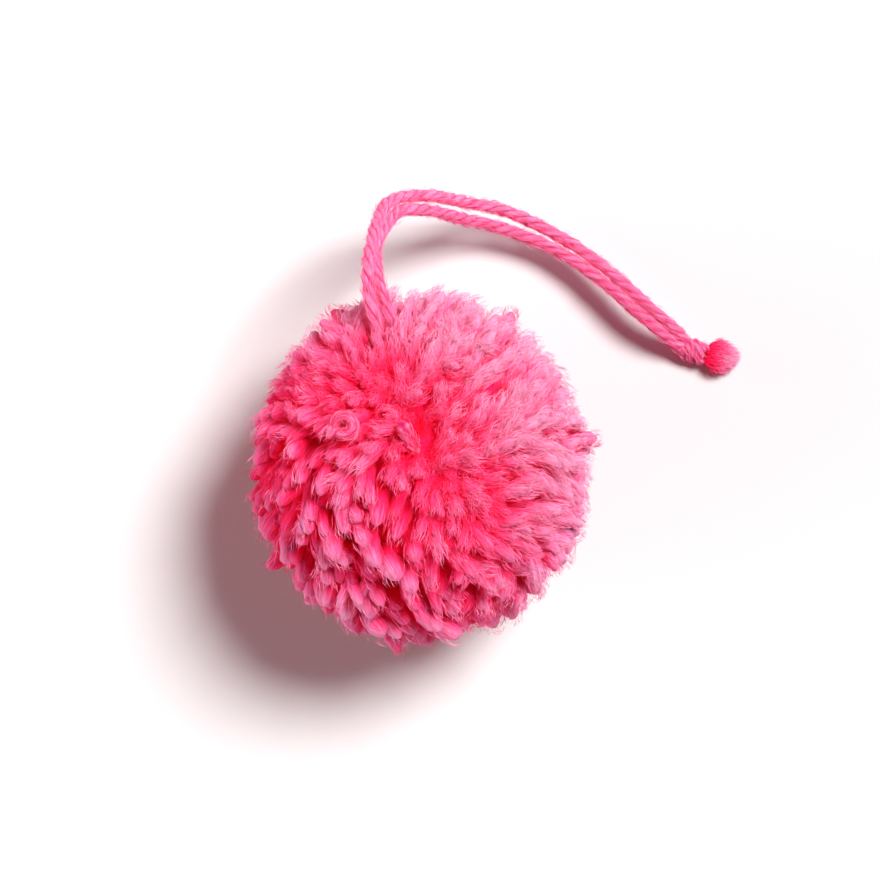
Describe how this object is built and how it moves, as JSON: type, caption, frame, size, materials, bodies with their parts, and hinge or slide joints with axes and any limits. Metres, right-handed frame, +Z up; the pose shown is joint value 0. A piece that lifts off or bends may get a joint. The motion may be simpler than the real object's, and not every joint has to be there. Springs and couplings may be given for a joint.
{
  "type": "yarn pom pom",
  "caption": "Round yarn pom pom of cut locks with a two-strand twisted tie, knotted near its brushed ends.",
  "frame": {"origin": "middle of the level patch of lock ends that the ball rests on", "axes": "+Z up, away from the surface; the tie leaves the ball towards +Y and its free ends lie at +X"},
  "size_m": [0.1179, 0.1089, 0.0758],
  "materials": {
    "ball_yarn": "soft brushed acrylic yarn, bright pink with paler ends",
    "tie_yarn": "soft three-ply acrylic yarn, bright pink"
  },
  "bodies": {
    "root": {"pompom": "ball_yarn", "tie_run_outer": "tie_yarn", "tie_run_inner": "tie_yarn", "tie_knot": "tie_yarn", "tie_tuft": "tie_yarn"}
  },
  "joints": []
}
